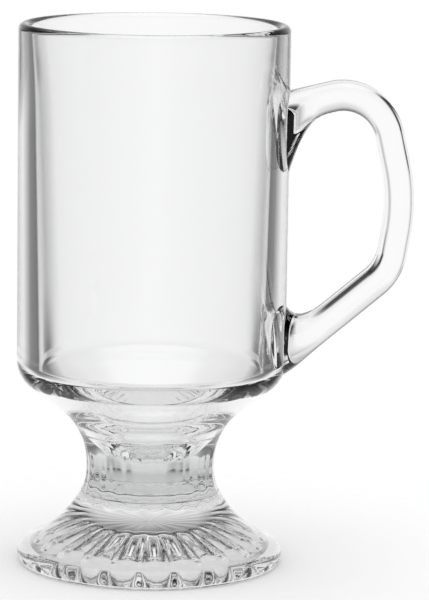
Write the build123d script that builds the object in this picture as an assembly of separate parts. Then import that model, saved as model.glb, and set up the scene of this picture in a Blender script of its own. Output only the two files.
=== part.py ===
from build123d import *
import os
from math import acos, asin, atan2, cos, pi, radians, sin, sqrt, tan

# Footed glass mug with a side handle, in millimetres. The mug's axis is Z, the table is z = 0,
# and the handle points along +X.

# Bowl
overall_height = 150.0
rim_diameter = 74.5
lip_thickness = 3.4
lip_taper_height = 20.0
lip_taper_curve_radius = 400.0
wall_thickness = 4.6
bore_draft = 1.1
shoulder_radius = 8.4
funnel_slope = 38.0
funnel_wall = 5.8
cavity_shoulder_radius = 2.5
well_radius = 13.5
well_curve_radius = 12.0
floor_radius = 6.5
floor_corner_radius = 4.5
floor_thickness = 3.4

# Stem
neck_radius = 17.75
neck_length = 1.6
neck_curve_radius = 20.0
seam_rise = 9.4
seat_land = 4.0
seat_depth = 10.4
stem_flare = 1.4
stem_flare_radius = 13.0

# Foot
foot_diameter = 74.0
foot_height = 20.1
foot_top_slope = 64.0
edge_radius = 3.0
edge_height = 2.4
ring_height = 1.0
ring_step = 0.35
ring_corner_radius = 0.7
bearing_width = 4.3
hollow_slope = 20.4
hollow_height = 7.4
flute_count = 20
flute_turn = 5.0
flute_depth = 1.5
flute_overlap = 1.05
flute_tip_length = 7.2

# Handle
handle_width = 12.0
handle_thickness = 7.9
handle_corner_radius = 2.6
upper_arm_below_rim = 22.2
top_corner_below_rim = 16.1
top_corner_out = 24.4
side_corner_above_shoulder = 46.6
side_corner_out = 31.3
low_corner_above_shoulder = 26.2
low_corner_out = 28.0
lower_arm_above_shoulder = 2.5
top_bend_radius = 13.0
side_bend_radius = 50.0
low_bend_radius = 14.0
upper_pad_length = 11.0
upper_pad_width = 17.0
upper_pad_height = 22.4
upper_pad_drop = 6.9
lower_pad_length = 19.0
lower_pad_width = 16.0
lower_pad_height = 19.1
lower_pad_rise = 3.55
pad_roundness = 0.44
pad_flare_power = 3.0
pad_sections = 6
pad_sink = 0.3
pad_root = 5.0
bend_room = 0.97

# Heights and radii that follow from the sizes above
rim_radius = rim_diameter / 2
bore_radius = rim_radius - wall_thickness
lip_radius = lip_thickness / 2
lip_height = overall_height - lip_radius
stem_foot_radius = neck_radius + stem_flare
flare_angle = acos(1 - stem_flare / stem_flare_radius)
flare_top = foot_height + stem_flare_radius * sin(flare_angle)
neck_height = flare_top + neck_length
slope_rise = tan(radians(funnel_slope))
slope_turn = radians(90 - funnel_slope)
neck_corner_height = neck_height + neck_curve_radius * tan(slope_turn / 2)
shoulder_corner_height = neck_corner_height + (rim_radius - neck_radius) * slope_rise
shoulder_height = shoulder_corner_height + shoulder_radius * tan(slope_turn / 2)
seam_height = neck_height + seam_rise
seam_radius = neck_radius + neck_curve_radius - sqrt(neck_curve_radius**2 - seam_rise**2)
seat_radius = seam_radius - seat_land
hollow_rise = tan(radians(hollow_slope))
floor_height = seam_height - seat_depth + floor_thickness
clear_of_part = 2 * overall_height


def turned(section):
    return revolve(Plane.XZ * section, Axis.Z)


def band(low, high):
    return Pos(0, (low + high) / 2) * Rectangle(2 * clear_of_part, high - low)


def funnel_height(radius):
    return shoulder_corner_height - (rim_radius - radius) * slope_rise


def arc_about(centre, radius, start_angle, end_angle):
    def on_circle(angle):
        return Vector(centre) + Vector(cos(angle), sin(angle)) * radius

    middle_angle = (start_angle + end_angle) / 2
    return ThreePointArc(on_circle(start_angle), on_circle(middle_angle), on_circle(end_angle))


# Outside of the bowl and the stem, from the lip down to the top of the foot, closed along the axis
def upper_outline():
    side = FilletPolyline(
        (rim_radius, lip_height),
        (rim_radius, shoulder_corner_height),
        (neck_radius, neck_corner_height),
        (neck_radius, flare_top),
        radius=[shoulder_radius, neck_curve_radius],
    )
    flare_centre = (neck_radius + stem_flare_radius, flare_top)
    flare = arc_about(flare_centre, stem_flare_radius, pi, pi + flare_angle)
    ends = Polyline(flare @ 1, (0, foot_height), (0, lip_height), side @ 0)
    return make_face([*side.edges(), flare, *ends.edges()])


# Round nose under the bowl's floor, which fills the seat in the top of the stem
def nose_outline():
    nose_sphere_radius = (seat_radius**2 + seat_depth**2) / (2 * seat_depth)
    centre = Pos(0, seam_height - seat_depth + nose_sphere_radius)
    return centre * Circle(nose_sphere_radius) & band(0, seam_height)


# Inside of the bowl: bore that narrows downwards, funnel, well and flat floor
def cavity_outline():
    wall_rise = funnel_wall / cos(radians(funnel_slope))
    narrowing = tan(radians(bore_draft))
    bore_top = lip_height - lip_taper_height
    bore_depth = bore_top - funnel_height(bore_radius) - wall_rise
    bore_end_radius = bore_radius - bore_depth * narrowing / (1 - slope_rise * narrowing)
    side = FilletPolyline(
        (rim_radius - lip_thickness, overall_height),
        (rim_radius - lip_thickness, lip_height),
        (bore_radius, bore_top),
        (bore_end_radius, funnel_height(bore_end_radius) + wall_rise),
        (well_radius, funnel_height(well_radius) + wall_rise),
        (floor_radius, floor_height),
        (0, floor_height),
        radius=[0, lip_taper_curve_radius, cavity_shoulder_radius, well_curve_radius, floor_corner_radius],
    )
    ends = Polyline(side @ 1, (0, overall_height), side @ 0)
    return make_face([*side.edges(), *ends.edges()])


def right_half():
    return Pos(clear_of_part / 2, 0) * Rectangle(clear_of_part, 2 * clear_of_part)


def make_bowl():
    lip = Pos(rim_radius - lip_radius, lip_height) * Circle(lip_radius)
    cup = upper_outline() & band(seam_height, overall_height)
    section = (cup + nose_outline() - cavity_outline() + lip) & right_half()
    return turned(section)


def make_stem():
    section = (upper_outline() & band(foot_height, seam_height)) - nose_outline()
    return turned(section & right_half())


def crown_radius(bearing_inner):
    return bearing_inner - hollow_height / hollow_rise


# The foot's top is one hollow curve that starts at the stem and runs into the round edge.
# Underneath, the hollow rises from the bearing ring as a cone up to a flat crown.
def foot_outline():
    slope = radians(foot_top_slope)
    start = Vector(stem_foot_radius, foot_height)
    edge_centre = Vector(foot_diameter / 2 - edge_radius, edge_height)
    outward = Vector(sin(slope), cos(slope))
    reach = start - edge_centre
    top_radius = (reach.dot(reach) - edge_radius**2) / (2 * (edge_radius - outward.dot(reach)))
    top_centre = start + outward * top_radius
    to_top_centre = top_centre - edge_centre
    tangent_angle = atan2(to_top_centre.Y, to_top_centre.X)
    top = arc_about(top_centre, top_radius, 1.5 * pi - slope, tangent_angle + pi)
    under_angle = -asin((edge_height - ring_height) / edge_radius)
    edge = arc_about(edge_centre, edge_radius, tangent_angle, under_angle)
    ring_radius = (edge @ 1).X - ring_step
    corner_centre = Vector(ring_radius - ring_corner_radius, ring_corner_radius)
    step = Polyline(edge @ 1, (ring_radius, ring_height), (ring_radius, ring_corner_radius))
    corner = arc_about(corner_centre, ring_corner_radius, 0, -pi / 2)
    bearing_inner = corner_centre.X - bearing_width
    under = Polyline(
        corner @ 1,
        (bearing_inner, 0),
        (crown_radius(bearing_inner), hollow_height),
        (0, hollow_height),
        (0, foot_height),
        start,
    )
    face = make_face([top, edge, *step.edges(), corner, *under.edges()])
    return face, bearing_inner


# Cutter for one radial flute: a cone that widens outwards and ends in a ball.
# It starts inside the flat crown and is cut off there, so that the flute runs out into the crown.
def flute_cutter(bearing_inner):
    flute_start = crown_radius(bearing_inner) / 2
    flute_round_start = bearing_inner - flute_tip_length
    half_width = flute_overlap * pi * flute_round_start / flute_count
    wide_radius = (half_width**2 + flute_depth**2) / (2 * flute_depth)
    narrow_radius = wide_radius * flute_start / flute_round_start

    def axis_point(radius, flute_radius):
        depth = flute_depth * radius / flute_round_start
        ceiling = hollow_rise * (bearing_inner - radius) + depth
        return Vector(radius, 0, ceiling - flute_radius)

    inner = axis_point(flute_start, narrow_radius)
    outer = axis_point(flute_round_start, wide_radius)
    length = (outer - inner).length
    along = (outer - inner).normalized()
    spread = atan2(wide_radius - narrow_radius, length)
    lowest = (Align.CENTER, Align.CENTER, Align.MIN)
    flute_plane = Plane(inner, x_dir=(0, 1, 0), z_dir=along)
    cone = flute_plane * Cone(narrow_radius, wide_radius, length, align=lowest)
    ball = Pos(outer + along * wide_radius * tan(spread)) * Sphere(wide_radius / cos(spread))
    return split(cone + ball, Plane.XY.offset(hollow_height), keep=Keep.BOTTOM)


def make_foot():
    outline, bearing_inner = foot_outline()
    cutter = flute_cutter(bearing_inner)
    turn = 360 / flute_count
    flutes = [Rot(0, 0, flute_turn + turn * i) * cutter for i in range(flute_count)]
    return turned(outline) - flutes


def strap_section(origin, direction, width, thickness, corner):
    plane = Plane(origin, x_dir=(0, 1, 0), z_dir=direction)
    return plane * RectangleRounded(width, thickness, corner)


# Pad that widens from the strap to the wall and drops there, more and more near the wall.
# Its root goes on straight into the wall, so that the outside of the bowl trims its whole end.
def make_pad(wall_point, strap_point, strap_direction, pad_width, pad_height, pad_drop):
    pad_corner_radius = pad_roundness * min(pad_width, pad_height)
    sections = []
    for i in range(pad_sections):
        share = i / (pad_sections - 1)
        flare = (1 - share) ** pad_flare_power
        width = handle_width + (pad_width - handle_width) * flare
        height = handle_thickness + (pad_height - handle_thickness) * flare
        corner = handle_corner_radius + (pad_corner_radius - handle_corner_radius) * flare
        origin = wall_point + (strap_point - wall_point) * share - Vector(0, 0, pad_drop) * flare
        direction = Vector(1, 0, 0) * (1 - share) + strap_direction * share
        sections.append(strap_section(origin, direction, width, height, corner))
    return loft(sections) + extrude(sections[0], -pad_root)


# How far a pad starts inside the wall, so that its whole outline reaches the round outside of the bowl
def seat_depth_in_wall(pad_width):
    return rim_radius - sqrt(rim_radius**2 - (pad_width / 2) ** 2) + pad_sink


# Bend radii of the strap, each no larger than the straight runs beside its corner leave room for
def fitted_radii(points, wanted):
    fitted = []
    for i in range(1, len(points) - 1):
        before = points[i] - points[i - 1]
        after = points[i + 1] - points[i]
        room_before = before.length if i == 1 else before.length / 2
        room_after = after.length if i == len(points) - 2 else after.length / 2
        half_turn = radians(before.get_angle(after)) / 2
        largest = bend_room * min(room_before, room_after) / tan(half_turn)
        fitted.append(min(wanted[i - 1], largest))
    return fitted


def make_handle(mug_outside):
    wall_x = rim_radius
    upper_wall = Vector(wall_x, 0, overall_height - upper_arm_below_rim)
    top_corner = Vector(wall_x + top_corner_out, 0, overall_height - top_corner_below_rim)
    side_corner = Vector(wall_x + side_corner_out, 0, shoulder_height + side_corner_above_shoulder)
    low_corner = Vector(wall_x + low_corner_out, 0, shoulder_height + low_corner_above_shoulder)
    lower_wall = Vector(wall_x, 0, shoulder_height + lower_arm_above_shoulder)
    upper_direction = (top_corner - upper_wall).normalized()
    lower_direction = (low_corner - lower_wall).normalized()
    upper_start = upper_wall + upper_direction * upper_pad_length
    lower_start = lower_wall + lower_direction * lower_pad_length
    points = [upper_start, top_corner, side_corner, low_corner, lower_start]
    radii = fitted_radii(points, [top_bend_radius, side_bend_radius, low_bend_radius])
    path = FilletPolyline(*points, radius=radii)
    section = strap_section(
        upper_start, upper_direction, handle_width, handle_thickness, handle_corner_radius
    )
    strap = sweep(section, path=path)
    upper_seat = upper_wall - Vector(seat_depth_in_wall(upper_pad_width), 0, 0)
    lower_seat = lower_wall - Vector(seat_depth_in_wall(lower_pad_width), 0, 0)
    upper_pad = make_pad(
        upper_seat, upper_start, upper_direction, upper_pad_width, upper_pad_height, upper_pad_drop
    )
    lower_pad = make_pad(
        lower_seat, lower_start, lower_direction, lower_pad_width, lower_pad_height, -lower_pad_rise
    )
    return strap + upper_pad + lower_pad - mug_outside


parts = {
    "bowl": make_bowl(),
    "stem": make_stem(),
    "foot": make_foot(),
    "handle": make_handle(turned(upper_outline())),
}
os.makedirs("parts", exist_ok=True)
for name, part in parts.items():
    export_step(part, f"parts/{name}.step")
    print(name, "volume", round(part.volume / 1000, 2), "cm3", "solids", len(part.solids()))
print("shoulder at", round(shoulder_height, 2), "seam at", round(seam_height, 2))
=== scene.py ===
import math
from functools import partial

import bpy
from mathutils import Matrix, Vector


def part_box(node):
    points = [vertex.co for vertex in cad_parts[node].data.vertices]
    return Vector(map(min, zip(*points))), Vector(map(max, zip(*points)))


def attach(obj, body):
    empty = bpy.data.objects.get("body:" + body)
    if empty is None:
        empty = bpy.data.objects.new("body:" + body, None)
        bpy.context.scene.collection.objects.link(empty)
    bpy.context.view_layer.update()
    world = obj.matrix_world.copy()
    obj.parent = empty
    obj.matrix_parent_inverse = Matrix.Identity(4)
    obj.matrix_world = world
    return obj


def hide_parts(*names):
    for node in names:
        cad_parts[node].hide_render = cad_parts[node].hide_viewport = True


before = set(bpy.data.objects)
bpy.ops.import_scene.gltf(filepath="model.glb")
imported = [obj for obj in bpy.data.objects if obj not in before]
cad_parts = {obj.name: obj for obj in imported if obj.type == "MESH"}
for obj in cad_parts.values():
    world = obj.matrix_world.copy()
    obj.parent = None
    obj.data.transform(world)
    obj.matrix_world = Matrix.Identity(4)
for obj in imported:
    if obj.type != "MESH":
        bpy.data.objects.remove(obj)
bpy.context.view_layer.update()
mm = 0.001
samePoint = 0.0001                  # in millimetres, closer than this is one point
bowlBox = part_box("bowl")
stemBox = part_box("stem")
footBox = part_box("foot")

# shared outline, in millimetres, taken from the solids' own boxes
rimRadius = bowlBox[1].x / mm
rimHeight = bowlBox[1].z / mm
seamHeight = stemBox[1].z / mm      # bowl on stem
footTop = stemBox[0].z / mm         # stem on foot
noseBottom = bowlBox[0].z / mm      # lowest point of the bowl, inside the stem
footRadius = footBox[1].x / mm


# a stretch of an outline is a list of (point, normal): points are (radius, height)
# and normals are on the left of travel

def straight(start, end, longest=5.0):
    start, end = Vector(start), Vector(end)
    along = end - start
    if along.length < samePoint:
        return []
    normal = Vector((-along.y, along.x)).normalized()
    count = max(1, math.ceil(along.length / longest))
    return [(start + along * i / count, normal) for i in range(count + 1)]


def arc(centre, radius, fromAngle, toAngle, stepAngle=3.0):
    count = max(2, math.ceil(abs(toAngle - fromAngle) / math.radians(stepAngle)))
    side = -1 if toAngle > fromAngle else 1
    samples = []
    for i in range(count + 1):
        angle = fromAngle + (toAngle - fromAngle) * i / count
        spoke = Vector((math.cos(angle), math.sin(angle)))
        samples.append((Vector(centre) + spoke * radius, spoke * side))
    return samples


def rounded(corners, stepAngle=3.0, longest=5.0):
    # corners are (radius, height, fillet); gives one stretch for each straight and each fillet
    stretches = []
    last = Vector(corners[0][:2])
    for before, here, after in zip(corners, corners[1:], corners[2:]):
        corner, fillet = Vector(here[:2]), here[2]
        into = (corner - Vector(before[:2])).normalized()
        out = (Vector(after[:2]) - corner).normalized()
        turn = math.atan2(into.x * out.y - into.y * out.x, into.dot(out))
        tangent = fillet * math.tan(abs(turn) / 2)
        begin = corner - into * tangent
        stretches.append(straight(last, begin, longest))
        last = corner + out * tangent
        if fillet:
            left = Vector((-into.y, into.x)) * math.copysign(1, turn)
            centre = begin + left * fillet
            fromAngle = math.atan2(-left.y, -left.x)
            stretches.append(arc(centre, fillet, fromAngle, fromAngle + turn, stepAngle))
    stretches.append(straight(last, corners[-1][:2], longest))
    return [stretch for stretch in stretches if stretch]


def onArc(centre, radius, angle):
    return (centre[0] + radius * math.cos(angle), centre[1] + radius * math.sin(angle))


def addObject(name, data):
    added = bpy.data.objects.new(name, data)
    bpy.context.scene.collection.objects.link(added)
    return added


def lathe(name, stretches, columns, welds=(), startAngle=0.0):
    # the stretches numbered in welds are hidden faces, where two pieces are fused
    turns = [startAngle + 2 * math.pi * column / columns for column in range(columns + 1)]
    spokes = [(math.cos(turn), math.sin(turn)) for turn in turns]
    verts, faces, normals, weldFaces, stretchOfFace = [], [], [], [], []
    rings = []      # (outline point, its turned points) along the outline

    def spun(outline, column):
        return Vector((outline.x * spokes[column][0], outline.x * spokes[column][1], outline.y))

    def ring(point):
        # two stretches share the ring where they meet, and the axis has a single point
        if not rings or (point - rings[-1][0]).length > samePoint:
            count = 1 if point.x < samePoint else columns
            rings.append((point, range(len(verts), len(verts) + count)))
            verts.extend(spun(point, column) * mm for column in range(count))
        return rings[-1][1]

    for index, stretch in enumerate(stretches):
        for (start, startNormal), (end, endNormal) in zip(stretch, stretch[1:]):
            first = ring(start)
            second = ring(end)
            for column in range(columns):
                following = column + 1
                corners = [(first, startNormal, column), (second, endNormal, column),
                           (second, endNormal, following), (first, startNormal, following)]
                if len(first) == 1:
                    corners.pop(3)
                elif len(second) == 1:
                    corners.pop(2)
                faces.append([points[at % len(points)] for points, normal, at in corners])
                normals.extend(spun(normal, at) for points, normal, at in corners)
                weldFaces.append(int(index in welds))
                stretchOfFace.append(index)
    mesh = bpy.data.meshes.new(name)
    mesh.from_pydata(verts, [], faces)
    mesh.polygons.foreach_set("use_smooth", [True] * len(faces))
    mesh.polygons.foreach_set("material_index", weldFaces)
    mesh.normals_split_custom_set(normals)
    return addObject(name, mesh), stretchOfFace


# the fine grooves outside, where the pieces are fused
seamSizes = {"round": 0.35, "reach": 2.5, "stepAngle": 10.0}


def cutBack(radius):
    # angle by which an arc of that radius stops short of a seam
    return seamSizes["reach"] * seamSizes["round"] / radius


def seamAround(start, corner, end):
    corners = [(*start, 0), (*corner, seamSizes["round"]), (*end, 0)]
    return rounded(corners, stepAngle=seamSizes["stepAngle"])


bowlSizes = {
    "lip": 3.4, "lipTaper": 20.0, "lipCurve": 400.0, "wall": 4.6, "boreDraft": 1.1,
    "shoulderRadius": 8.4, "funnelSlope": 38.0, "funnelWall": 5.8,
    "cavityShoulder": 2.5, "wellRadius": 13.5, "wellCurve": 12.0,
    "floorRadius": 6.5, "floorCorner": 4.5, "floorThickness": 3.4,
    "columns": 256,
    # the outer wall on the handle's side: share of the rim's radius, and how far it faces that way
    "handleSide": 0.6, "handleFacing": 0.5,
}
stemSizes = {
    "neckRadius": 17.75, "neckLength": 1.6, "neckCurve": 20.0, "seatLand": 4.0,
    "flare": 1.4, "flareRadius": 13.0, "columns": 256,
}

# the waist that the bowl and the stem share
neckCurve = stemSizes["neckCurve"]
flareAngle = math.acos(1 - stemSizes["flare"] / stemSizes["flareRadius"])
flareTop = footTop + stemSizes["flareRadius"] * math.sin(flareAngle)
neckHeight = flareTop + stemSizes["neckLength"]
neckCentre = (stemSizes["neckRadius"] + neckCurve, neckHeight)
slope = math.radians(bowlSizes["funnelSlope"])
slopeTurn = math.pi / 2 - slope
neckCorner = neckHeight + neckCurve * math.tan(slopeTurn / 2)
shoulderCorner = neckCorner + (rimRadius - stemSizes["neckRadius"]) * math.tan(slope)
shoulderTop = shoulderCorner + bowlSizes["shoulderRadius"] * math.tan(slopeTurn / 2)
seamAngle = math.pi - math.asin((seamHeight - neckHeight) / neckCurve)
seamRadius = neckCentre[0] + neckCurve * math.cos(seamAngle)
seamCorner = (seamRadius, seamHeight)
footJoin = stemSizes["neckRadius"] + stemSizes["flare"]

# the bowl's round nose in the stem's seat
seatRadius = seamRadius - stemSizes["seatLand"]
seatEdge = (seatRadius, seamHeight)
seatDepth = seamHeight - noseBottom
noseSphere = (seatRadius ** 2 + seatDepth ** 2) / (2 * seatDepth)
noseCentre = (0, noseBottom + noseSphere)
noseAngle = math.atan2(seamHeight - noseCentre[1], seatRadius)


def makeBowl():
    sizes = bowlSizes
    lip = sizes["lip"] / 2
    lipHeight = rimHeight - lip
    boreTop = lipHeight - sizes["lipTaper"]
    bore = rimRadius - sizes["wall"]
    narrowing = math.tan(math.radians(sizes["boreDraft"]))
    wallRise = sizes["funnelWall"] / math.cos(slope)

    def funnel(radius):
        return shoulderCorner - (rimRadius - radius) * math.tan(slope) + wallRise

    boreEnd = bore - (boreTop - funnel(bore)) * narrowing / (1 - math.tan(slope) * narrowing)
    floorHeight = noseBottom + sizes["floorThickness"]
    funnelEnd = math.pi - slopeTurn
    neckEnd = seamAngle - cutBack(neckCurve)
    inside = rounded([
        (0, floorHeight, 0),
        (sizes["floorRadius"], floorHeight, sizes["floorCorner"]),
        (sizes["wellRadius"], funnel(sizes["wellRadius"]), sizes["wellCurve"]),
        (boreEnd, funnel(boreEnd), sizes["cavityShoulder"]),
        (bore, boreTop, sizes["lipCurve"]),
        (rimRadius - sizes["lip"], lipHeight, 0),
    ], stepAngle=2.0, longest=2.5)
    lipArc = [arc((rimRadius - lip, lipHeight), lip, math.pi, 0, stepAngle=4.0)]
    outside = rounded([
        (rimRadius, lipHeight, 0),
        (rimRadius, shoulderCorner, sizes["shoulderRadius"]),
        (*onArc(neckCentre, neckCurve, funnelEnd), 0),
    ])
    neck = [arc(neckCentre, neckCurve, funnelEnd, neckEnd, stepAngle=1.5)]
    seam = seamAround(onArc(neckCentre, neckCurve, neckEnd), seamCorner, seatEdge)
    nose = [arc(noseCentre, noseSphere, noseAngle, -math.pi / 2, stepAngle=4.0)]
    stretches = inside + lipArc + outside + neck + seam + nose
    welds = (len(stretches) - 2, len(stretches) - 1)
    return lathe("bowl_glass", stretches, sizes["columns"], welds)[0]


def makeStem():
    sizes = stemSizes
    flareRadius = sizes["flareRadius"]
    neckStart = seamAngle + cutBack(neckCurve)
    flareEnd = math.pi + flareAngle - cutBack(flareRadius)
    flareCentre = (sizes["neckRadius"] + flareRadius, flareTop)
    seat = [arc(noseCentre, noseSphere, -math.pi / 2, noseAngle, stepAngle=4.0)]
    seam = seamAround(seatEdge, seamCorner, onArc(neckCentre, neckCurve, neckStart))
    neck = [arc(neckCentre, neckCurve, neckStart, math.pi, stepAngle=1.5),
            straight((sizes["neckRadius"], neckHeight), (sizes["neckRadius"], flareTop), longest=0.8),
            arc(flareCentre, flareRadius, math.pi, flareEnd, stepAngle=1.5)]
    bottom = seamAround(onArc(flareCentre, flareRadius, flareEnd), (footJoin, footTop), (0, footTop))
    stretches = seat + seam + neck + bottom
    welds = (0, 1, len(stretches) - 1)
    return lathe("stem_glass", stretches, sizes["columns"], welds)[0]


bowl = makeBowl()
stem = makeStem()
print("bowl and stem turned:", len(bowl.data.polygons), len(stem.data.polygons), "faces")


# helpers for node trees

def feed(tree, socket, value):
    # a plain number sits on the socket, anything else is linked to it
    if isinstance(value, (int, float)):
        socket.default_value = value
    else:
        tree.links.new(value, socket)


def mathNode(tree, operation, *values):
    node = tree.nodes.new("ShaderNodeMath")
    node.operation = operation
    for socket, value in zip(node.inputs, values):
        feed(tree, socket, value)
    return node.outputs[0]


def smoothStep(tree, value, fromLow, fromHigh, toLow=0.0, toHigh=1.0):
    node = tree.nodes.new("ShaderNodeMapRange")
    node.interpolation_type = "SMOOTHSTEP"
    labels = ("Value", "From Min", "From Max", "To Min", "To Max")
    for label, given in zip(labels, (value, fromLow, fromHigh, toLow, toHigh)):
        feed(tree, node.inputs[label], given)
    return node.outputs[0]


def splitXYZ(tree, vector):
    node = tree.nodes.new("ShaderNodeSeparateXYZ")
    tree.links.new(vector, node.inputs[0])
    return list(node.outputs)


def groupTree(name, kind, inputs, outputs):
    tree = bpy.data.node_groups.new(name, kind)
    for side, sockets in (("INPUT", inputs), ("OUTPUT", outputs)):
        for label, socketType in sockets:
            tree.interface.new_socket(label, in_out=side, socket_type="NodeSocket" + socketType)
    return tree, tree.nodes.new("NodeGroupInput").outputs, tree.nodes.new("NodeGroupOutput").inputs


footSizes = {
    "topSlope": 64.0, "edgeRadius": 3.0, "edgeHeight": 2.4,
    "ringHeight": 1.0, "ringStep": 0.35, "stepRound": 0.12, "ringCorner": 0.7, "bearingWidth": 4.3,
    "hollowSlope": 20.4, "hollowHeight": 7.4,
    "fluteCount": 20, "fluteTurn": 5.0, "fluteDepth": 1.5, "fluteOverlap": 1.05, "fluteTip": 7.2,
    "ridgeSoftness": 0.6, "ridgeLand": 0.5,
    "columns": 480, "underRings": 78, "flatMargin": 0.01,
}


def flutePress():
    # lifts the blank under the foot into a ring of flutes around a flat crown
    tree, given, result = groupTree("flutePress", "GeometryNodeTree", [
        ("Geometry", "Geometry"), ("Flute Count", "Int"), ("Flute Turn", "Float"), ("Flute Depth", "Float"),
        ("Flute Overlap", "Float"), ("Widest Radius", "Float"), ("Hollow Radius", "Float"),
        ("Hollow Rise", "Float"), ("Crown Height", "Float"), ("Ridge Softness", "Float"),
        ("Ridge Land", "Float"), ("Glass", "Material"), ("Fused Glass", "Material"),
    ], [("Geometry", "Geometry")])
    calc = partial(mathNode, tree)
    nodes, links = tree.nodes, tree.links
    x, y = splitXYZ(tree, nodes.new("GeometryNodeInputPosition").outputs[0])[:2]

    # folds all the flutes into one, measured along and across its axis
    radius = calc("SQRT", calc("ADD", calc("MULTIPLY", x, x), calc("MULTIPLY", y, y)))
    sector = calc("DIVIDE", 2 * math.pi, given["Flute Count"])
    half = calc("MULTIPLY", sector, 0.5)
    turned = calc("ADD", calc("SUBTRACT", calc("ARCTAN2", y, x), given["Flute Turn"]), half)
    folded = calc("SUBTRACT", calc("FLOORED_MODULO", turned, sector), half)
    along = calc("MULTIPLY", radius, calc("COSINE", folded))
    # a narrow land is left along each ridge, as the mould leaves it
    landEdge = calc("SUBTRACT", calc("MULTIPLY", along, calc("TANGENT", half)), given["Ridge Land"])
    offAxis = calc("ABSOLUTE", calc("MULTIPLY", radius, calc("SINE", folded)))
    across = calc("SMOOTH_MIN", offAxis, landEdge, given["Ridge Softness"])
    acrossSquared = calc("MULTIPLY", across, across)

    def cone(at):
        return calc("MULTIPLY", given["Hollow Rise"], calc("SUBTRACT", given["Hollow Radius"], at))

    def ceiling(at):
        share = calc("DIVIDE", at, given["Widest Radius"])
        return calc("ADD", cone(at), calc("MULTIPLY", given["Flute Depth"], share))

    def roof(top, size, awaySquared):
        # height of a round roof of that size at some distance from its top
        left = calc("SUBTRACT", calc("MULTIPLY", size, size), awaySquared)
        return calc("ADD", calc("SUBTRACT", top, size), calc("SQRT", calc("MAXIMUM", left, 0.0)))

    # roof of one flute: its radius comes from its depth and the chord between two ridges
    chord = calc("MULTIPLY", given["Flute Overlap"], calc("MULTIPLY", half, given["Widest Radius"]))
    depthSquared = calc("MULTIPLY", given["Flute Depth"], given["Flute Depth"])
    wide = calc("DIVIDE", calc("ADD", calc("MULTIPLY", chord, chord), depthSquared),
                calc("MULTIPLY", given["Flute Depth"], 2.0))
    local = calc("MULTIPLY", wide, calc("DIVIDE", along, given["Widest Radius"]))
    channel = roof(ceiling(along), local, acrossSquared)
    past = calc("SUBTRACT", along, given["Widest Radius"])
    ballSquared = calc("ADD", acrossSquared, calc("MULTIPLY", past, past))
    ball = roof(ceiling(given["Widest Radius"]), wide, ballSquared)
    flute = nodes.new("GeometryNodeSwitch")
    flute.input_type = "FLOAT"
    for socket, value in zip(flute.inputs, (calc("GREATER_THAN", past, 0.0), channel, ball)):
        links.new(value, socket)

    pressed = calc("SMOOTH_MAX", cone(radius), flute.outputs[0], given["Ridge Softness"])
    pressed = calc("SMOOTH_MIN", pressed, given["Crown Height"], given["Ridge Softness"])
    place = nodes.new("ShaderNodeCombineXYZ")
    for socket, value in zip(place.inputs, (x, y, pressed)):
        links.new(value, socket)

    def marked(name):
        node = nodes.new("GeometryNodeInputNamedAttribute")
        node.data_type = "BOOLEAN"
        node.inputs["Name"].default_value = name
        return node.outputs[0]

    move = nodes.new("GeometryNodeSetPosition")
    realize = nodes.new("GeometryNodeRealizeInstances")
    glassFaces = nodes.new("GeometryNodeSetMaterial")
    fusedFaces = nodes.new("GeometryNodeSetMaterial")
    links.new(given["Geometry"], move.inputs["Geometry"])
    links.new(marked("underside"), move.inputs["Selection"])
    links.new(place.outputs[0], move.inputs["Position"])
    links.new(move.outputs[0], realize.inputs[0])
    links.new(realize.outputs[0], glassFaces.inputs["Geometry"])
    links.new(given["Glass"], glassFaces.inputs["Material"])
    links.new(glassFaces.outputs[0], fusedFaces.inputs["Geometry"])
    links.new(marked("fused"), fusedFaces.inputs["Selection"])
    links.new(given["Fused Glass"], fusedFaces.inputs["Material"])
    links.new(fusedFaces.outputs[0], result["Geometry"])
    return tree


def footStretches():
    sizes = footSizes
    edgeRadius = sizes["edgeRadius"]
    topSlope = math.radians(sizes["topSlope"])
    start = Vector((footJoin, footTop))
    edgeCentre = Vector((footRadius - edgeRadius, sizes["edgeHeight"]))
    # the flared top is one arc from the stem that runs on into the round edge
    outward = Vector((math.sin(topSlope), math.cos(topSlope)))
    reach = start - edgeCentre
    topRadius = (reach.dot(reach) - edgeRadius ** 2) / (2 * (edgeRadius - outward.dot(reach)))
    topCentre = start + outward * topRadius
    toTop = topCentre - edgeCentre
    tangent = math.atan2(toTop.y, toTop.x)
    topStart = 1.5 * math.pi - topSlope + cutBack(topRadius)
    underAngle = -math.asin((sizes["edgeHeight"] - sizes["ringHeight"]) / edgeRadius)
    edge = arc(edgeCentre, edgeRadius, tangent, underAngle, stepAngle=5.0)
    edgeEnd = edge[-1][0]
    ringRadius = edgeEnd.x - sizes["ringStep"]
    bearingInner = ringRadius - sizes["ringCorner"] - sizes["bearingWidth"]
    seam = seamAround((0, footTop), start, onArc(topCentre, topRadius, topStart))
    top = [arc(topCentre, topRadius, topStart, tangent + math.pi, stepAngle=1.0), edge]
    ring = rounded([
        (*edgeEnd, 0),
        (ringRadius, sizes["ringHeight"], sizes["stepRound"]),
        (ringRadius, 0, sizes["ringCorner"]),
        (bearingInner, 0, 0),
    ], stepAngle=10.0, longest=1.2)
    underStep = math.hypot(bearingInner, sizes["hollowHeight"]) / sizes["underRings"]
    under = [straight((bearingInner, 0), (0, sizes["hollowHeight"]), underStep)]
    return seam + top + ring + under, bearingInner


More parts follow.
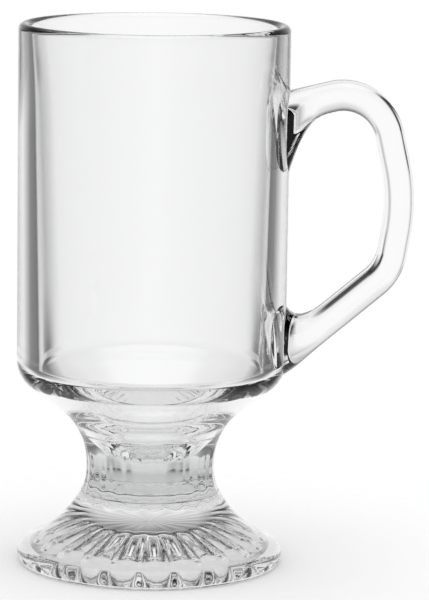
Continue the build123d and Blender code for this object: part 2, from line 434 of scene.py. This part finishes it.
def makeFoot(glass, fusedGlass):
    sizes = footSizes
    stretches, bearingInner = footStretches()
    fluteTurn = math.radians(sizes["fluteTurn"])
    blank, stretchOfFace = lathe("foot_blank", stretches, sizes["columns"], startAngle=fluteTurn)
    mesh = blank.data
    underIndex = len(stretches) - 1
    fused = mesh.attributes.new("fused", "BOOLEAN", "FACE")
    fused.data.foreach_set("value", [index == 0 for index in stretchOfFace])
    # the bearing ring's own edge stays flat
    widest = (bearingInner - sizes["flatMargin"]) * mm
    underside = [False] * len(mesh.vertices)
    for face, index in zip(mesh.polygons, stretchOfFace):
        if index == underIndex:
            for vertex in face.vertices:
                underside[vertex] = mesh.vertices[vertex].co.xy.length < widest
    under = mesh.attributes.new("underside", "BOOLEAN", "POINT")
    under.data.foreach_set("value", underside)

    press = blank.modifiers.new("flutes", "NODES")
    press.node_group = flutePress()
    values = {
        "Flute Count": sizes["fluteCount"],
        "Flute Turn": fluteTurn,
        "Flute Depth": sizes["fluteDepth"] * mm,
        "Flute Overlap": sizes["fluteOverlap"],
        "Widest Radius": (bearingInner - sizes["fluteTip"]) * mm,
        "Hollow Radius": bearingInner * mm,
        "Hollow Rise": math.tan(math.radians(sizes["hollowSlope"])),
        "Crown Height": sizes["hollowHeight"] * mm,
        "Ridge Softness": sizes["ridgeSoftness"] * mm,
        "Ridge Land": sizes["ridgeLand"] * mm,
        "Glass": glass,
        "Fused Glass": fusedGlass,
    }
    for item in press.node_group.interface.items_tree:
        if item.in_out == "INPUT" and item.name in values:
            press[item.identifier] = values[item.name]
    evaluated = blank.evaluated_get(bpy.context.evaluated_depsgraph_get())
    pressed = bpy.data.meshes.new_from_object(evaluated)

    # the flutes take their own smooth normals, the turned faces keep theirs
    turnedNormals = [normal.vector.copy() for normal in mesh.corner_normals]
    plain = pressed.copy()
    if "custom_normal" in plain.attributes:
        plain.attributes.remove(plain.attributes["custom_normal"])
    ownNormals = [normal.vector.copy() for normal in plain.corner_normals]
    normals = []
    for face, index in zip(pressed.polygons, stretchOfFace):
        source = ownNormals if index == underIndex else turnedNormals
        normals.extend(source[corner] for corner in face.loop_indices)
    pressed.normals_split_custom_set(normals)
    bpy.data.meshes.remove(plain)
    bpy.data.objects.remove(blank)
    pressed.name = "foot_glass"
    return addObject("foot_glass", pressed)


handleSizes = {
    "width": 12.0, "thickness": 7.9, "corner": 2.6,
    "upperBelowRim": 22.2, "lowerAboveShoulder": 2.5,
    # corners of the strap's middle line: out from the rim, and down from it or up from the shoulder
    "topCorner": (24.4, 16.1), "sideCorner": (31.3, 46.6), "lowCorner": (28.0, 26.2),
    "bends": (13.0, 50.0, 14.0),
    "upperPad": {"length": 11.0, "width": 17.0, "height": 22.4, "drop": 6.9},
    "lowerPad": {"length": 19.0, "width": 16.0, "height": 19.1, "drop": -3.55},
    "padRoundness": 0.44, "flarePower": 3.0, "padSpacing": 1.5,
    "padRings": 26, "sidePoints": 10, "cornerPoints": 9, "capRings": 6,
}


def wallRadius(height):
    # outside of the bowl at that height
    fall = max(0.0, shoulderTop - height)
    curve = bowlSizes["shoulderRadius"]
    return rimRadius - curve + math.sqrt(curve ** 2 - fall ** 2)


def padCorner(pad):
    return handleSizes["padRoundness"] * min(pad["width"], pad["height"])


def roundedBox(width, height, corner):
    # outline of the strap, as (across, up) points, anticlockwise
    sizes = handleSizes
    quarter = math.pi / 2
    middles = [Vector((across * (width / 2 - corner), up * (height / 2 - corner)))
               for across, up in ((1, 1), (-1, 1), (-1, -1), (1, -1))]

    def spoke(quarters):
        return Vector((math.cos(quarter * quarters), math.sin(quarter * quarters))) * corner

    points = []
    for index, middle in enumerate(middles):
        for i in range(sizes["cornerPoints"]):
            points.append(middle + spoke(index + i / (sizes["cornerPoints"] - 1)))
        begin = points[-1]
        end = middles[(index + 1) % len(middles)] + spoke(index + 1)
        for i in range(1, sizes["sidePoints"]):
            points.append(begin.lerp(end, i / sizes["sidePoints"]))
    return points


def handlePath(points, bends):
    # straight runs and bends of the strap as (point, direction), in the plane of the handle
    corners = [(*point, bend) for point, bend in zip(points, (0, *bends, 0))]
    samples = []
    for stretch in rounded(corners, stepAngle=2.0, longest=1.5):
        for point, normal in stretch:
            if not samples or (point - samples[-1][0]).length > samePoint:
                samples.append((point, Vector((normal.y, -normal.x))))
    return samples


def strapRing(point, way, size):
    up = Vector((-way.y, way.x))
    ring = []
    for across, rise in roundedBox(*size):
        place = point + up * rise
        ring.append(Vector((place.x, across, place.y)))
    return ring


def padRings(seat, start, way, pad, outward):
    # from the wall to the strap; the first ring lies on the round wall
    sizes = handleSizes
    strap = (sizes["width"], sizes["thickness"], sizes["corner"])
    root = (pad["width"], pad["height"], padCorner(pad))
    rings = []
    for i in range(sizes["padRings"]):
        share = (i / sizes["padRings"]) ** sizes["padSpacing"]
        flare = (1 - share) ** sizes["flarePower"]
        size = [thin + (wide - thin) * flare for thin, wide in zip(strap, root)]
        point = seat.lerp(start, share) - Vector((0, pad["drop"])) * flare
        facing = Vector((1, 0)).lerp(way, share).normalized() * outward
        ring = strapRing(point, facing, size)
        for place in ring:
            place.x += (math.sqrt(wallRadius(place.z) ** 2 - place.y ** 2) - rimRadius) * flare
        rings.append(ring)
    return rings


def skinRings(name, rings, capRings):
    count = len(rings[0])
    following = [(i + 1) % count for i in range(count)]
    verts = [place for ring in rings for place in ring]
    faces, fused = [], []
    for start in range(0, (len(rings) - 1) * count, count):
        end = start + count
        for i, after in enumerate(following):
            faces.append([start + i, start + after, end + after, end + i])
            fused.append(0)

    def cap(ring, base, backwards):
        # fills an end with rings that shrink to its middle, all on the wall
        middle = sum(ring, Vector()) / count
        outer = range(base, base + count)
        for step in range(1, capRings + 1):
            share = 1 - step / capRings
            points = [middle.lerp(place, share) for place in ring] if share else [middle.copy()]
            for place in points:
                place.x = math.sqrt(wallRadius(place.z) ** 2 - place.y ** 2)
            inner = range(len(verts), len(verts) + len(points))
            verts.extend(points)
            for i, after in enumerate(following):
                face = [outer[i], outer[after]] + ([inner[after], inner[i]] if share else [inner[0]])
                faces.append(face[::-1] if backwards else face)
                fused.append(1)
            outer = inner

    cap(rings[0], 0, True)
    cap(rings[-1], (len(rings) - 1) * count, False)
    mesh = bpy.data.meshes.new(name)
    mesh.from_pydata([place * mm for place in verts], [], faces)
    mesh.polygons.foreach_set("use_smooth", [not hidden for hidden in fused])
    mesh.polygons.foreach_set("material_index", fused)
    return addObject(name, mesh)


def makeHandle():
    sizes = handleSizes

    def outside(distance, height):
        return Vector((rimRadius + distance, height))

    upperWall = outside(0, rimHeight - sizes["upperBelowRim"])
    topCorner = outside(sizes["topCorner"][0], rimHeight - sizes["topCorner"][1])
    sideCorner = outside(sizes["sideCorner"][0], shoulderTop + sizes["sideCorner"][1])
    lowCorner = outside(sizes["lowCorner"][0], shoulderTop + sizes["lowCorner"][1])
    lowerWall = outside(0, shoulderTop + sizes["lowerAboveShoulder"])
    upperWay = (topCorner - upperWall).normalized()
    lowerWay = (lowCorner - lowerWall).normalized()
    upperStart = upperWall + upperWay * sizes["upperPad"]["length"]
    lowerStart = lowerWall + lowerWay * sizes["lowerPad"]["length"]
    path = handlePath([upperStart, topCorner, sideCorner, lowCorner, lowerStart], sizes["bends"])
    strap = (sizes["width"], sizes["thickness"], sizes["corner"])
    rings = padRings(upperWall, upperStart, upperWay, sizes["upperPad"], 1)
    rings += [strapRing(point, way, strap) for point, way in path]
    rings += reversed(padRings(lowerWall, lowerStart, lowerWay, sizes["lowerPad"], -1))
    return skinRings("handle_glass", rings, sizes["capRings"])


# glass: colours and levels by height, clear in the bowl and darkest in the solid stem, where the darker
# colour is painted shade
glassSizes = {
    "clear": (0.99, 0.992, 0.992, 1), "paintedShade": (0.62, 0.63, 0.628, 1), "footShare": 0.05,
    "footLevel": 17.0, "neckLevel": 21.0, "neckTop": 28.0, "clearLevel": 35.0,
    "rippleHeight": 0.12, "refraction": 1.52,
}


def stemShadeGlass():
    tree, given, result = groupTree("stemShadeGlass", "ShaderNodeTree", [
        ("Place", "Vector"), ("Clear", "Color"), ("Painted Shade", "Color"), ("Foot Share", "Float"),
        ("Foot Level", "Float"), ("Neck Level", "Float"), ("Neck Top", "Float"), ("Clear Level", "Float"),
        ("Ripple Count", "Float"), ("Ripple Turn", "Float"),
    ], [("Color", "Color"), ("Ripple", "Float")])
    calc = partial(mathNode, tree)
    x, y, height = splitXYZ(tree, given["Place"])
    # painted shade: the glass colour darkens from the foot up into the neck and clears again below the
    # bowl, in place of the darker look that refraction gives the solid stem
    fromFoot = smoothStep(tree, height, given["Foot Level"], given["Neck Level"], given["Foot Share"], 1.0)
    toBowl = smoothStep(tree, height, given["Neck Top"], given["Clear Level"], 1.0, 0.0)
    shadeAndRipple = calc("MULTIPLY", fromFoot, toBowl)
    mix = tree.nodes.new("ShaderNodeMix")
    mix.data_type = "RGBA"
    tree.links.new(shadeAndRipple, mix.inputs[0])
    tree.links.new(given["Clear"], mix.inputs[6])       # the two colour sockets
    tree.links.new(given["Painted Shade"], mix.inputs[7])
    tree.links.new(mix.outputs[2], result["Color"])
    # slight sink marks that the flutes leave on the outside of the stem
    angle = calc("SUBTRACT", calc("ARCTAN2", y, x), given["Ripple Turn"])
    around = calc("COSINE", calc("MULTIPLY", angle, given["Ripple Count"]))
    tree.links.new(calc("MULTIPLY", around, shadeAndRipple), result["Ripple"])
    return tree


def padShape():
    # 1 inside the rounded outline of one pad on the wall, 0 outside
    tree, given, result = groupTree("padShape", "ShaderNodeTree", [
        ("Place", "Vector"), ("Middle Height", "Float"), ("Half Width", "Float"), ("Half Height", "Float"),
        ("Corner", "Float"),
    ], [("Inside", "Float")])
    calc = partial(mathNode, tree)
    x, y, z = splitXYZ(tree, given["Place"])

    def beyond(value, half):
        return calc("ADD", calc("SUBTRACT", calc("ABSOLUTE", value), half), given["Corner"])

    def squared(value):
        return calc("POWER", calc("MAXIMUM", value, 0.0), 2.0)

    across = beyond(y, given["Half Width"])
    up = beyond(calc("SUBTRACT", z, given["Middle Height"]), given["Half Height"])
    cornerPart = calc("SQRT", calc("ADD", squared(across), squared(up)))
    distance = calc("ADD", cornerPart, calc("MINIMUM", calc("MAXIMUM", across, up), 0.0))
    inside = calc("LESS_THAN", distance, given["Corner"])
    tree.links.new(calc("MULTIPLY", inside, calc("GREATER_THAN", x, 0.0)), result["Inside"])
    return tree


def placeGroup(tree, group, values):
    # a group on the piece's own coordinates, with its values
    node = tree.nodes.new("ShaderNodeGroup")
    node.node_tree = group
    coords = tree.nodes.new("ShaderNodeTexCoord")
    tree.links.new(coords.outputs["Object"], node.inputs["Place"])
    for label, value in values.items():
        node.inputs[label].default_value = value
    return node.outputs


def newMaterial(name):
    material = bpy.data.materials.new(name)
    material.use_nodes = True
    return material, material.node_tree.nodes["Principled BSDF"]


def makeGlass(name, stemShadeGlassTree):
    sizes = glassSizes
    material, shader = newMaterial(name)
    tree = material.node_tree
    # this group paints shade into the glass colour over the neck and stem
    body = placeGroup(tree, stemShadeGlassTree, {
        "Clear": sizes["clear"], "Painted Shade": sizes["paintedShade"], "Foot Share": sizes["footShare"],
        "Foot Level": sizes["footLevel"] * mm, "Neck Level": sizes["neckLevel"] * mm,
        "Neck Top": sizes["neckTop"] * mm, "Clear Level": sizes["clearLevel"] * mm,
        "Ripple Count": footSizes["fluteCount"], "Ripple Turn": math.radians(footSizes["fluteTurn"]),
    })
    tree.links.new(body["Color"], shader.inputs["Base Color"])
    bump = tree.nodes.new("ShaderNodeBump")
    bump.inputs["Distance"].default_value = sizes["rippleHeight"] * mm
    tree.links.new(body["Ripple"], bump.inputs["Height"])
    tree.links.new(bump.outputs["Normal"], shader.inputs["Normal"])
    shader.inputs["Transmission Weight"].default_value = 1.0
    shader.inputs["Roughness"].default_value = 0.0
    shader.inputs["IOR"].default_value = sizes["refraction"]
    return material, shader


def makeFused(name):
    # hidden faces inside the fused glass let light straight through
    material, shader = newMaterial(name)
    shader.inputs["Alpha"].default_value = 0.0
    return material


def makeWeldedWall(name, stemShadeGlassTree):
    # the wall under the handle's pads, open where the glass is fused
    sizes = handleSizes
    material, shader = makeGlass(name, stemShadeGlassTree)
    tree = material.node_tree
    padShapeTree = padShape()
    insides = []
    for pad, seat in ((sizes["upperPad"], rimHeight - sizes["upperBelowRim"]),
                      (sizes["lowerPad"], shoulderTop + sizes["lowerAboveShoulder"])):
        shape = placeGroup(tree, padShapeTree, {
            "Middle Height": (seat - pad["drop"]) * mm, "Half Width": pad["width"] / 2 * mm,
            "Half Height": pad["height"] / 2 * mm, "Corner": padCorner(pad) * mm,
        })
        insides.append(shape["Inside"])
    underPads = mathNode(tree, "MAXIMUM", *insides)
    tree.links.new(mathNode(tree, "SUBTRACT", 1.0, underPads), shader.inputs["Alpha"])
    return material


stemShadeGlassTree = stemShadeGlass()
glass = makeGlass("clearGlass", stemShadeGlassTree)[0]
fusedGlass = makeFused("fusedGlass")
foot = makeFoot(glass, fusedGlass)
handle = makeHandle()
for piece in (bowl, stem, handle):
    piece.data.materials.append(glass)
    piece.data.materials.append(fusedGlass)
bowl.data.materials.append(makeWeldedWall("weldedWall", stemShadeGlassTree))
weldedSlot = len(bowl.data.materials) - 1
for face in bowl.data.polygons:
    onHandleSide = face.center.x > bowlSizes["handleSide"] * rimRadius * mm
    if face.material_index == 0 and onHandleSide and face.normal.x > bowlSizes["handleFacing"]:
        face.material_index = weldedSlot
print("foot and handle made:", len(foot.data.polygons), len(handle.data.polygons), "faces")


# white screens all round the glass, with dark gaps that draw its edges; tones are (degrees, brightness)
studioSizes = {
    "screens": 8,
    # by degrees from the middle of a screen: on the table, the backdrop and the band along the horizon
    "table": ((0, 1.0), (13, 0.95), (17, 0.4), (19, 0.08), (22.5, 0.02)),
    "backdrop": ((0, 1.0), (15, 1.0), (18, 0.4), (20, 0.05), (22.5, 0.0)),
    "band": ((0, 1.0), (13, 1.0), (18, 0.75), (22.5, 0.5)),
    # by degrees from the back: above the screens, and what the glass mirrors inside itself
    "sky": ((0, 1.0), (25, 1.0), (45, 0.4), (70, 0.08), (120, 0.1), (140, 0.25), (180, 0.4)),
    "mirror": ((0, 1.0), (20, 1.0), (30, 0.5), (38, 0.18), (60, 0.18), (120, 0.3), (180, 0.6)),
    # by degrees above the horizon: the room gets darker upwards
    "ceiling": ((-90, 1.0), (0, 1.0), (10, 0.7), (20, 0.35), (30, 0.1), (40, 0.02), (90, 0.02)),
    # lower edge of each zone above the horizon and its softness, in degrees
    "edges": {"table": (-47.0, 4.0), "backdrop": (-14.5, 0.7), "band": (-12.0, 1.0),
              "sky": (4.0, 2.0), "panel": (60.0, 4.0)},
    "paperTone": 1.0, "panelTone": 1.0, "plainLight": 1.0,
    "mirrorDepth": 1.5,         # a ray deeper than its transmissions by more than this was mirrored
}


def throughGlass(tree, path):
    # 1 for a ray that the glass has bent or mirrored
    return mathNode(tree, "MAXIMUM", path["Is Glossy Ray"], path["Is Transmission Ray"])


def makeWorld():
    sizes = studioSizes
    world = bpy.data.worlds.new("studio")
    bpy.context.scene.world = world
    world.use_nodes = True
    tree = world.node_tree
    nodes, links = tree.nodes, tree.links
    nodes.clear()
    calc = partial(mathNode, tree)

    def ramp(value, stops):
        # brightness between stops given in degrees
        low, high = stops[0][0], stops[-1][0]
        node = nodes.new("ShaderNodeValToRGB")
        links.new(calc("DIVIDE", calc("SUBTRACT", value, low), high - low), node.inputs[0])
        elements = node.color_ramp.elements     # starts with one at each end
        for degrees, tone in stops:
            if degrees in (low, high):
                element = elements[0 if degrees == low else -1]
            else:
                element = elements.new((degrees - low) / (high - low))
            element.color = (tone, tone, tone, 1)
        return node.outputs[0]

    def blend(share, first, second):
        node = nodes.new("ShaderNodeMix")
        node.data_type = "FLOAT"
        for index, value in ((0, share), (2, first), (3, second)):      # factor and the two numbers
            feed(tree, node.inputs[index], value)
        return node.outputs[0]

    coords = nodes.new("ShaderNodeTexCoord")
    x, y, z = splitXYZ(tree, coords.outputs["Generated"])
    bearing = calc("DEGREES", calc("ARCTAN2", x, y))
    elevation = calc("DEGREES", calc("ARCSINE", z))
    fromBack = calc("ABSOLUTE", bearing)
    fromScreen = calc("PINGPONG", bearing, 180 / sizes["screens"])

    def above(zone):
        edge, soft = sizes["edges"][zone]
        return smoothStep(tree, elevation, edge - soft, edge + soft)

    # rays mirrored inside the glass see an even wall in place of the screens
    path = nodes.new("ShaderNodeLightPath").outputs
    reflections = calc("SUBTRACT", path["Ray Depth"], path["Transmission Depth"])
    mirrored = calc("GREATER_THAN", reflections, sizes["mirrorDepth"])
    mirror = ramp(fromBack, sizes["mirror"])

    def screen(zone):
        return blend(mirrored, ramp(fromScreen, sizes[zone]), mirror)

    # from below upwards: white paper, table, backdrop, band, sky and a white panel overhead
    room = blend(above("table"), sizes["paperTone"], screen("table"))
    room = blend(above("backdrop"), room, screen("backdrop"))
    room = blend(above("band"), room, screen("band"))
    room = blend(above("sky"), room, ramp(fromBack, sizes["sky"]))
    room = calc("MULTIPLY", room, ramp(elevation, sizes["ceiling"]))
    room = blend(above("panel"), room, sizes["panelTone"])

    seen = blend(throughGlass(tree, path), sizes["plainLight"], room)
    background = nodes.new("ShaderNodeBackground")
    background.inputs["Color"].default_value = (1, 1, 1, 1)
    links.new(blend(path["Is Camera Ray"], seen, 1.0), background.inputs["Strength"])
    output = nodes.new("ShaderNodeOutputWorld")
    links.new(background.outputs[0], output.inputs["Surface"])


floorSizes = {"radius": 0.14, "fade": 0.05, "tone": 0.9, "paper": 0.8, "lift": 0.15, "sides": 96}


def floorPaint():
    sizes = floorSizes
    material = bpy.data.materials.new("paleFloor")
    material.use_nodes = True
    tree = material.node_tree
    nodes, links = tree.nodes, tree.links
    nodes.clear()
    calc = partial(mathNode, tree)

    def mixed(share, first, second):
        node = nodes.new("ShaderNodeMixShader")
        for socket, value in zip(node.inputs, (share, first.outputs[0], second.outputs[0])):
            links.new(value, socket)
        return node

    coords = nodes.new("ShaderNodeTexCoord")
    length = nodes.new("ShaderNodeVectorMath")
    length.operation = "LENGTH"
    links.new(coords.outputs["Object"], length.inputs[0])
    fade = smoothStep(tree, length.outputs["Value"], sizes["fade"], sizes["radius"])
    tone = (sizes["tone"], sizes["tone"], sizes["tone"], 1)
    diffuse = nodes.new("ShaderNodeBsdfDiffuse")
    diffuse.inputs["Color"].default_value = tone
    paper = nodes.new("ShaderNodeEmission")
    paper.inputs["Color"].default_value = tone
    clear = nodes.new("ShaderNodeBsdfTransparent")
    # seen through the glass the floor is mostly plain paper, so the foot stays light
    path = nodes.new("ShaderNodeLightPath").outputs
    lit = mixed(calc("MULTIPLY", throughGlass(tree, path), sizes["paper"]), diffuse, paper)
    surface = mixed(fade, lit, clear)
    # white to the camera where nothing shades it
    glow = nodes.new("ShaderNodeEmission")
    lift = calc("MULTIPLY", path["Is Camera Ray"], calc("SUBTRACT", 1.0, fade))
    links.new(calc("MULTIPLY", lift, sizes["lift"]), glow.inputs["Strength"])
    both = nodes.new("ShaderNodeAddShader")
    links.new(surface.outputs[0], both.inputs[0])
    links.new(glow.outputs[0], both.inputs[1])
    output = nodes.new("ShaderNodeOutputMaterial")
    links.new(both.outputs[0], output.inputs["Surface"])
    return material


def makeFloor():
    count = floorSizes["sides"]
    corners = [(*onArc((0, 0), floorSizes["radius"], 2 * math.pi * i / count), 0) for i in range(count)]
    mesh = bpy.data.meshes.new("floor")
    mesh.from_pydata(corners, [], [list(range(count))])
    mesh.materials.append(floorPaint())
    floor = addObject("floor", mesh)


cameraSizes = {
    "place": (0.01729, -0.9386, 0.23251), "pitch": 9.605, "roll": 0.8,
    "focalPixels": 3442.0, "longSide": 600, "sensor": 36.0,
}


def makeCamera():
    sizes = cameraSizes
    data = bpy.data.cameras.new("camera")
    data.sensor_width = sizes["sensor"]
    data.lens = sizes["sensor"] * sizes["focalPixels"] / sizes["longSide"]
    camera = addObject("camera", data)
    tilt = Matrix.Rotation(math.radians(90 - sizes["pitch"]), 4, "X")
    roll = Matrix.Rotation(math.radians(sizes["roll"]), 4, "Z")
    camera.matrix_world = Matrix.Translation(Vector(sizes["place"])) @ tilt @ roll
    bpy.context.scene.camera = camera


glassBounces = 32
mirrorBounces = 16

makeWorld()
makeFloor()
makeCamera()
scene = bpy.context.scene
scene.view_settings.view_transform = "Standard"
scene.cycles.max_bounces = glassBounces
scene.cycles.transmission_bounces = glassBounces
scene.cycles.transparent_max_bounces = glassBounces
scene.cycles.glossy_bounces = mirrorBounces
print("studio set")

for piece, node in ((bowl, "bowl"), (stem, "stem"), (foot, "foot"), (handle, "handle")):
    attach(piece, "root")
    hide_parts(node)
